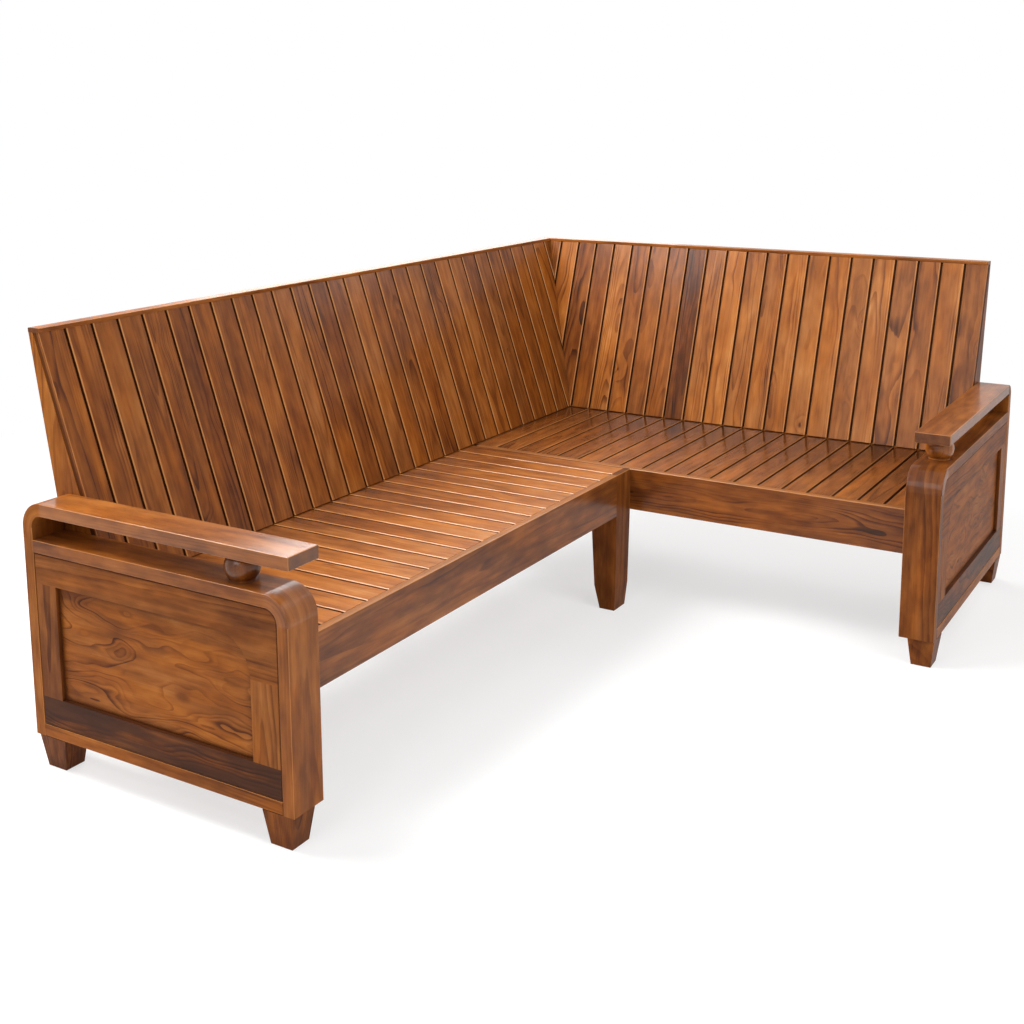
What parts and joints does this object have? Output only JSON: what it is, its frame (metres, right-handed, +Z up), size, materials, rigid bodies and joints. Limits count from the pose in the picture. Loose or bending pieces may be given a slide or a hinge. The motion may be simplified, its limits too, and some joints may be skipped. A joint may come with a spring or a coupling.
{
  "type": "corner bench",
  "caption": "L-shaped slatted teak corner bench with raked mitred backs, panelled arms on tapered feet and a ball under each armrest.",
  "frame": {"origin": "on the floor, at the middle of the bench's outer rectangle", "axes": "+X along the long run from its arm to the back's corner, +Y from the long seat's front to its back, +Z up"},
  "size_m": [2.3458, 1.6078, 0.95],
  "materials": {
    "teak": "satin varnish",
    "teak_light": "satin varnish",
    "teak_dark": "satin varnish",
    "bolt_steel": "zinc plated"
  },
  "bodies": {
    "root": {"corner_post": "teak", "inner_corner_leg": "teak", "left_armrest": "teak_light", "left_ball": "teak", "left_bottom_board": "teak", "left_front_corner": "teak", "left_front_foot": "teak_light", "left_front_post": "teak", "left_lining": "teak_dark", "left_panel": "teak", "left_panel_bottom_rail": "teak_dark", "left_panel_front_stile": "teak", "left_panel_rear_stile": "teak", "left_panel_top_rail": "teak", "left_rear_corner": "teak", "left_rear_foot": "teak_light", "left_rear_post": "teak", "left_top_board": "teak", "long_back_cap": "teak_light", "long_back_slats": "teak", "long_end_post": "teak", "long_front_rail": "teak_light", "long_lower_batten": "teak_dark", "long_middle_post": "teak", "long_rear_rail": "teak_dark", "long_seat_bearer": "teak_dark", "long_seat_slats": "teak", "long_upper_batten": "teak_dark", "post_bolts": "bolt_steel", "rear_leg": "teak", "right_armrest": "teak_light", "right_ball": "teak", "right_bottom_board": "teak", "right_front_corner": "teak", "right_front_foot": "teak_light", "right_front_post": "teak", "right_lining": "teak_dark", "right_panel": "teak", "right_panel_bottom_rail": "teak_dark", "right_panel_front_stile": "teak", "right_panel_rear_stile": "teak", "right_panel_top_rail": "teak", "right_rear_corner": "teak", "right_rear_foot": "teak_light", "right_rear_post": "teak", "right_top_board": "teak", "short_back_cap": "teak_light", "short_back_slats": "teak", "short_end_post": "teak", "short_front_rail": "teak_light", "short_lower_batten": "teak_dark", "short_middle_post": "teak", "short_rear_rail": "teak_dark", "short_seat_bearer": "teak_dark", "short_seat_slats": "teak", "short_upper_batten": "teak_dark"}
  },
  "joints": []
}
